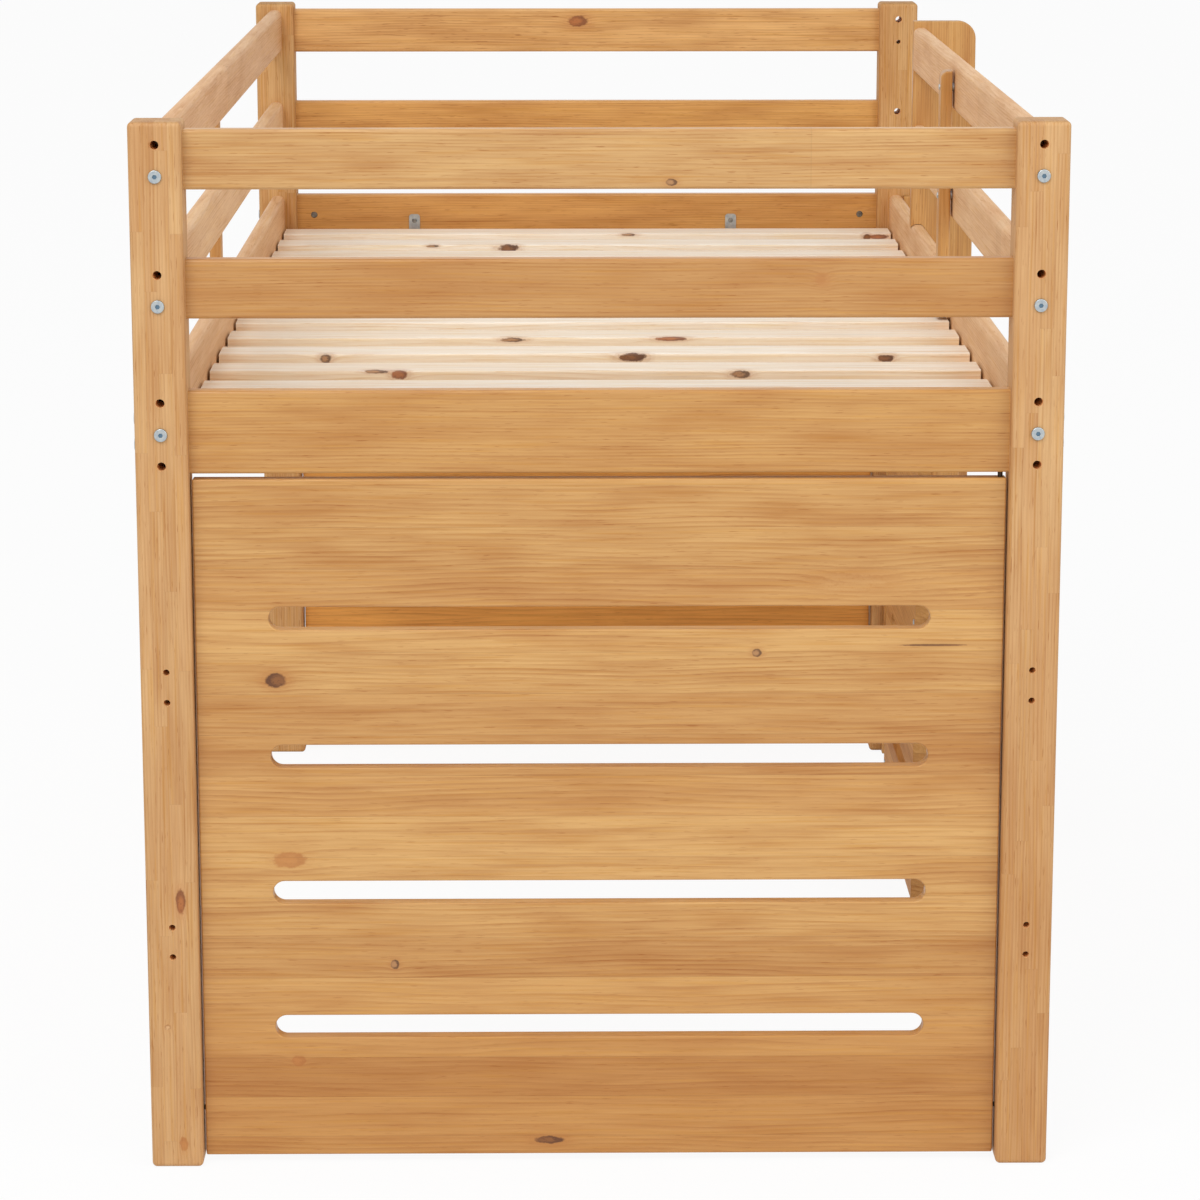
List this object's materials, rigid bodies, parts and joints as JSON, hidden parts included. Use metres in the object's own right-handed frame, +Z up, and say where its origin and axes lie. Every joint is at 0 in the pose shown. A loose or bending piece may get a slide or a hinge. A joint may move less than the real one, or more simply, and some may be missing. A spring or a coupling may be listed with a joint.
{
  "type": "loft bed",
  "caption": "Low pine loft bed with a slatted deck inside guard rails, slotted end panels and a short side ladder beside a slotted side panel.",
  "frame": {"origin": "middle of the floor area that the bed covers, ladder included, at floor level", "axes": "+Z up, +Y along the bed from the near end to the ladder end, +X across the bed towards the ladder side"},
  "size_m": [1.1446, 2, 1.27],
  "materials": {
    "honey_pine": "satin lacquered pine",
    "pale_pine": "bare sawn pine",
    "dowel_wood": "bare turned hardwood",
    "zinc_steel": "zinc plated",
    "dark_steel": "blackened"
  },
  "bodies": {
    "root": {"post_near_left": "honey_pine", "post_near_right": "honey_pine", "end_upper_rail_near": "honey_pine", "end_middle_rail_near": "honey_pine", "end_main_rail_near": "honey_pine", "end_panel_near": "honey_pine", "post_far_left": "honey_pine", "post_far_right": "honey_pine", "end_upper_rail_far": "honey_pine", "end_middle_rail_far": "honey_pine", "end_main_rail_far": "honey_pine", "end_panel_far": "honey_pine", "side_upper_rail_left": "honey_pine", "side_middle_rail_left": "honey_pine", "side_main_rail_left": "honey_pine", "slat_ledger_left": "pale_pine", "side_upper_rail_right": "honey_pine", "side_middle_rail_right": "honey_pine", "side_main_rail_right": "honey_pine", "slat_ledger_right": "pale_pine", "slat_01": "pale_pine", "slat_02": "pale_pine", "slat_03": "pale_pine", "slat_04": "pale_pine", "slat_05": "pale_pine", "slat_06": "pale_pine", "slat_07": "pale_pine", "slat_08": "pale_pine", "slat_09": "pale_pine", "slat_10": "pale_pine", "slat_11": "pale_pine", "slat_12": "pale_pine", "slat_13": "pale_pine", "slat_14": "pale_pine", "guard_batten_right": "honey_pine", "guard_batten_left": "honey_pine", "centre_leg": "honey_pine", "ladder_leg": "honey_pine", "side_panel": "honey_pine", "ladder_upright": "honey_pine", "ladder_far_stile": "honey_pine", "ladder_tread_1": "honey_pine", "ladder_tread_2": "honey_pine", "ladder_tread_3": "honey_pine", "slat_brackets": "zinc_steel", "bracket_screws": "zinc_steel", "side_rail_bolts": "zinc_steel", "side_rail_barrel_nuts": "zinc_steel", "end_rail_bolts": "zinc_steel", "end_rail_barrel_nuts": "zinc_steel", "end_rail_dowels": "dowel_wood", "panel_pins": "dark_steel", "upright_bolts": "zinc_steel", "upright_barrel_nuts": "zinc_steel", "leg_dowels": "dowel_wood", "ledger_screws": "zinc_steel", "panel_screws": "zinc_steel", "batten_screws": "zinc_steel", "batten_washers": "zinc_steel", "ladder_screws": "zinc_steel"}
  },
  "joints": []
}
